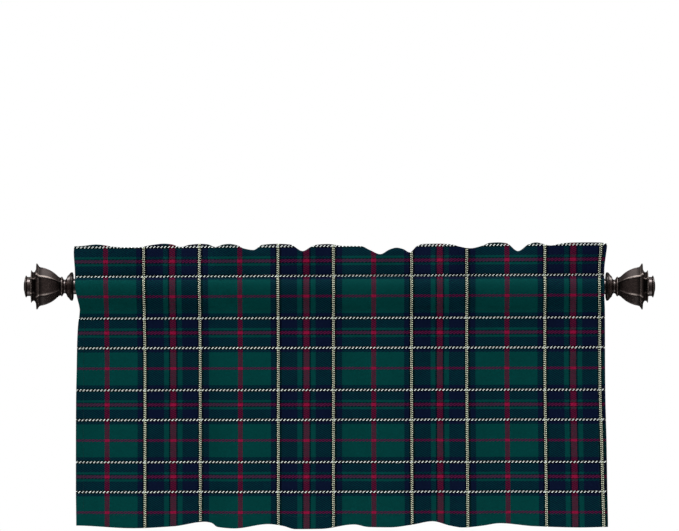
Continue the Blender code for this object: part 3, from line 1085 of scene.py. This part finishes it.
def build_finial(name, side):
    """The hexagonal bell finial as one closed turned form."""
    rows = [(-STUD_LENGTH, STUD_RADIUS, 0.0, 0.0), (-0.01, STUD_RADIUS, 0.0, -1.0)]
    for low, high in zip(FINIAL_PROFILE, FINIAL_PROFILE[1:]):
        for step in range(ROW_SPLITS):
            out = low[0] + (high[0] - low[0]) * step / ROW_SPLITS
            rows.append((out,) + tuple(read_curve(FINIAL_PROFILE, out, column)
                                       for column in (1, 2, 3)))
    rim = FINIAL_PROFILE[-1]
    for step in range(TIP_ROWS):
        turn = step / TIP_ROWS
        out = rim[0] + (FINIAL_TIP - rim[0]) * turn
        rows.append((out, rim[1] * math.sqrt(1.0 - turn ** 1.5), 0.0, 0.0))
    angles = finial_angles()
    work = bmesh.new()
    wear_and_painted_light = work.verts.layers.float.new("wear_and_painted_light")
    rings = []
    for out, radius, hexagon, rub_and_painted_light in rows:
        ring = []
        for angle in angles:
            reach = finial_reach(angle, radius, hexagon)
            vert = work.verts.new((side * (FINIAL_FACE + out) * MM, reach * math.sin(angle) * MM,
                                   reach * math.cos(angle) * MM))
            # Painted light per vertex: rubbing with a painted highlight above 0, painted shade
            # below
            shade = rub_and_painted_light + hexagon * corner_rub_and_painted_light(angle, radius, out)
            vert[wear_and_painted_light] = max(-1.0, min(1.0, shade))
            ring.append(vert)
        rings.append(ring)
    start = work.verts.new((side * (FINIAL_FACE - STUD_LENGTH) * MM, 0.0, 0.0))
    tip = work.verts.new((side * (FINIAL_FACE + FINIAL_TIP) * MM, 0.0, 0.0))
    for index in range(FINIAL_SIDES):
        after = (index + 1) % FINIAL_SIDES
        work.faces.new((start, rings[0][after], rings[0][index]))
        work.faces.new((tip, rings[-1][index], rings[-1][after]))
        for low, high in zip(rings, rings[1:]):
            work.faces.new((low[index], low[after], high[after], high[index]))
    bmesh.ops.recalc_face_normals(work, faces=work.faces)
    mesh = bpy.data.meshes.new(name)
    work.to_mesh(mesh)
    work.free()
    return add_smooth(name, mesh, 50.0)


def stitch_line(work, line, outward):
    """Sews short rounded stitches along a line of points on the cloth."""
    line = [Vector(point) for point in line]
    lengths = [0.0]
    for near, far in zip(line, line[1:]):
        lengths.append(lengths[-1] + (far - near).length)

    def at(distance):
        place = int(np.searchsorted(lengths, distance, side="right")) - 1
        place = max(0, min(place, len(line) - 2))
        share = (distance - lengths[place]) / (lengths[place + 1] - lengths[place])
        return line[place].lerp(line[place + 1], share)

    distance = STITCH_PITCH
    while distance < lengths[-1] - STITCH_PITCH:
        middle = at(distance)
        along = (at(distance + 0.5) - at(distance - 0.5)).normalized()
        lift = Vector((0.0, outward, 0.0))
        across = along.cross(lift).normalized()
        lift = across.cross(along).normalized()
        rings = []
        for place, fat in STITCH_PROFILE:
            centre = middle + along * place * STITCH_LENGTH + lift * 0.1 * (2.0 * fat - 1.0)
            if fat == 0.0:
                rings.append([work.verts.new(centre * MM)])
                continue
            ring = []
            for number in range(STITCH_SIDES):
                angle = 2.0 * math.pi * number / STITCH_SIDES
                out = across * math.cos(angle) + lift * math.sin(angle)
                ring.append(work.verts.new((centre + out * STITCH_RADIUS * fat) * MM))
            rings.append(ring)
        for near, far in zip(rings, rings[1:]):
            for index in range(STITCH_SIDES):
                after = (index + 1) % STITCH_SIDES
                corners = [near[index % len(near)], near[after % len(near)],
                           far[after % len(far)], far[index % len(far)]]
                work.faces.new(list(dict.fromkeys(corners)))
        distance += STITCH_PITCH


def cloth_line(columns, contours, index):
    """The cloth's points along one thread of its width, at one place of the contour."""
    line = []
    for (x, _), loops in zip(columns, contours):
        y, z = loops[0][0][index]
        line.append((place_across(x, z), y, z))
    return line


def nearest_index(contour, z, front):
    """Place on the outer contour that is nearest a height, on the front or the back."""
    half = len(contour) // 2
    span = range(0, half) if front else range(half, len(contour))
    return min(span, key=lambda index: abs(contour[index][1] - z))


def build_stitches(columns, contours):
    """All of the valance's seam lines, sewn right through the cloth."""
    work = bmesh.new()
    outer = contours[len(contours) // 2][0][0]
    hem = outer[:, 1].min() + BOTTOM_HEM - HEM_ROW
    for z in (HEADER_SEAM, POCKET_SEAM, hem):
        for front, outward in ((True, -1.0), (False, 1.0)):
            index = nearest_index(outer, z, front)
            stitch_line(work, cloth_line(columns, contours, index), outward)
    low = nearest_index(outer, hem, True)
    high = nearest_index(outer, POCKET_SEAM - SIDE_ROW_GAP, True)
    low_back = nearest_index(outer, hem, False)
    high_back = nearest_index(outer, FACING_EDGE - SIDE_ROW_GAP, False)
    for number in (HEM_COLUMNS - 1, len(columns) - HEM_COLUMNS):
        x = columns[number][0]
        contour = contours[number][0][0]
        for first, last, outward in ((high, low, -1.0), (low_back, high_back, 1.0)):
            line = [(place_across(x, z), y, z) for y, z in contour[first:last]]
            stitch_line(work, line, outward)
    bmesh.ops.recalc_face_normals(work, faces=work.faces)
    mesh = bpy.data.meshes.new("valance_stitches")
    work.to_mesh(mesh)
    work.free()
    return add_smooth("valance_stitches", mesh)


def build_floor():
    """A plain pale disc below the valance."""
    bpy.ops.mesh.primitive_circle_add(vertices=96, radius=FLOOR_RADIUS, fill_type="NGON",
                                      location=(0.0, 0.0, FLOOR_HEIGHT))
    floor = bpy.context.active_object
    floor.name = "floor"
    nodes = Nodes("pale_floor")
    grain = nodes.noise(nodes.add("ShaderNodeTexCoord").outputs["Object"], 40.0)
    color, _ = nodes.ramp(grain, [(0.0, shade_of(226, 226, 226)), (1.0, shade_of(236, 236, 236))])
    nodes.feed(nodes.shader.inputs["Base Color"], color)
    nodes.shader.inputs["Roughness"].default_value = 0.8
    floor.data.materials.append(nodes.material)
    floor.visible_glossy = False


def add_lights():
    """The soft lights, each one turned to its target."""
    for name, place, target, size, power, matt, glossy in LIGHTS:
        data = bpy.data.lights.new(name, "AREA")
        data.shape = "RECTANGLE"
        data.size = size[0]
        data.size_y = size[1]
        data.energy = power
        light = bpy.data.objects.new(name, data)
        light.location = place
        look = Vector(target) - Vector(place)
        light.rotation_euler = look.to_track_quat("-Z", "Y").to_euler()
        light.visible_diffuse = matt
        light.visible_glossy = glossy
        bpy.context.scene.collection.objects.link(light)


def build_surroundings():
    """Surroundings that are white to look at, but light the part only dimly and least
    from behind."""
    world = bpy.data.worlds.new("studio")
    bpy.context.scene.world = world
    world.use_nodes = True
    tree = world.node_tree
    tree.nodes.clear()
    out = tree.nodes.new("ShaderNodeOutputWorld")
    mix = tree.nodes.new("ShaderNodeMixShader")
    seen = tree.nodes.new("ShaderNodeBackground")
    seen.inputs["Color"].default_value = (1.0, 1.0, 1.0, 1.0)
    glow = tree.nodes.new("ShaderNodeBackground")
    path = tree.nodes.new("ShaderNodeLightPath")
    place = tree.nodes.new("ShaderNodeTexCoord")
    split = tree.nodes.new("ShaderNodeSeparateXYZ")
    tree.links.new(place.outputs["Generated"], split.inputs[0])

    def fall(axis, stops):
        """Brightness along one axis of the surroundings."""
        half = tree.nodes.new("ShaderNodeMath")
        half.operation = "MULTIPLY_ADD"
        half.inputs[1].default_value = 0.5
        half.inputs[2].default_value = 0.5
        tree.links.new(split.outputs[axis], half.inputs[0])
        ramp = tree.nodes.new("ShaderNodeValToRGB")
        points = ramp.color_ramp.elements
        while len(points) < len(stops):
            points.new(1.0)
        for point, (at, value) in zip(points, stops):
            point.position = at
            point.color = (value, value, value, 1.0)
        tree.links.new(half.outputs[0], ramp.inputs["Fac"])
        return ramp.outputs["Color"]

    both = tree.nodes.new("ShaderNodeMix")
    both.data_type = "RGBA"
    both.blend_type = "MULTIPLY"
    both.inputs["Factor"].default_value = 1.0
    up = fall("Z", [(0.0, 3.2), (0.04, 2.0), (0.09, 0.2), (0.35, 0.2), (0.5, 0.1),
                    (0.6, 0.35), (0.85, 1.0)])
    back = fall("Y", [(0.0, 1.0), (0.4, 0.9), (0.6, 0.4), (1.0, 0.05)])
    tree.links.new(up, both.inputs["A"])
    tree.links.new(back, both.inputs["B"])
    tree.links.new(both.outputs["Result"], glow.inputs["Color"])
    tree.links.new(path.outputs["Is Camera Ray"], mix.inputs["Fac"])
    tree.links.new(glow.outputs[0], mix.inputs[1])
    tree.links.new(seen.outputs[0], mix.inputs[2])
    tree.links.new(mix.outputs[0], out.inputs["Surface"])


def add_camera():
    """Level camera in front of the middle, so that the part lands where it is shown."""
    data = bpy.data.cameras.new("camera")
    data.sensor_width = SENSOR_WIDTH
    data.lens = SENSOR_WIDTH * CAMERA_DISTANCE / (PICTURE_WIDTH * MM_PER_PIXEL * MM)
    camera = bpy.data.objects.new("camera", data)
    aside = (PICTURE_WIDTH / 2.0 - MIDDLE_PIXEL_X) * MM_PER_PIXEL * MM
    height = (ROD_PIXEL_Y - PICTURE_HEIGHT / 2.0) * MM_PER_PIXEL * MM
    camera.location = (aside, -CAMERA_DISTANCE, height)
    camera.rotation_euler = (math.radians(90.0), 0.0, 0.0)
    bpy.context.scene.collection.objects.link(camera)
    bpy.context.scene.camera = camera


def main():
    """Builds the studio and the dressed part."""
    add_camera()
    build_surroundings()
    add_lights()
    build_floor()

    cloth, columns, contours = build_cloth()
    cloth.data.materials.append(tartan_material())
    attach(cloth, "root")
    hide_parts("valance")

    stitches = build_stitches(columns, contours)
    stitches.data.materials.append(thread_material())
    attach(stitches, "root")

    bronze_with_wear_and_painted_light = bronze_material("bronze_with_wear_and_painted_light", True)
    for name, side in (("finial_left", -1.0), ("finial_right", 1.0)):
        finial = build_finial(name + "_turned", side)
        finial.data.materials.append(bronze_with_wear_and_painted_light)
        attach(finial, "root")
        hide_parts(name)

    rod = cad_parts["rod"]
    rod.material_slots[0].material = bronze_material("rod_bronze_finish", False)

    bpy.context.scene.view_settings.view_transform = "Standard"
    bpy.context.scene.cycles.denoising_prefilter = "NONE"


main()
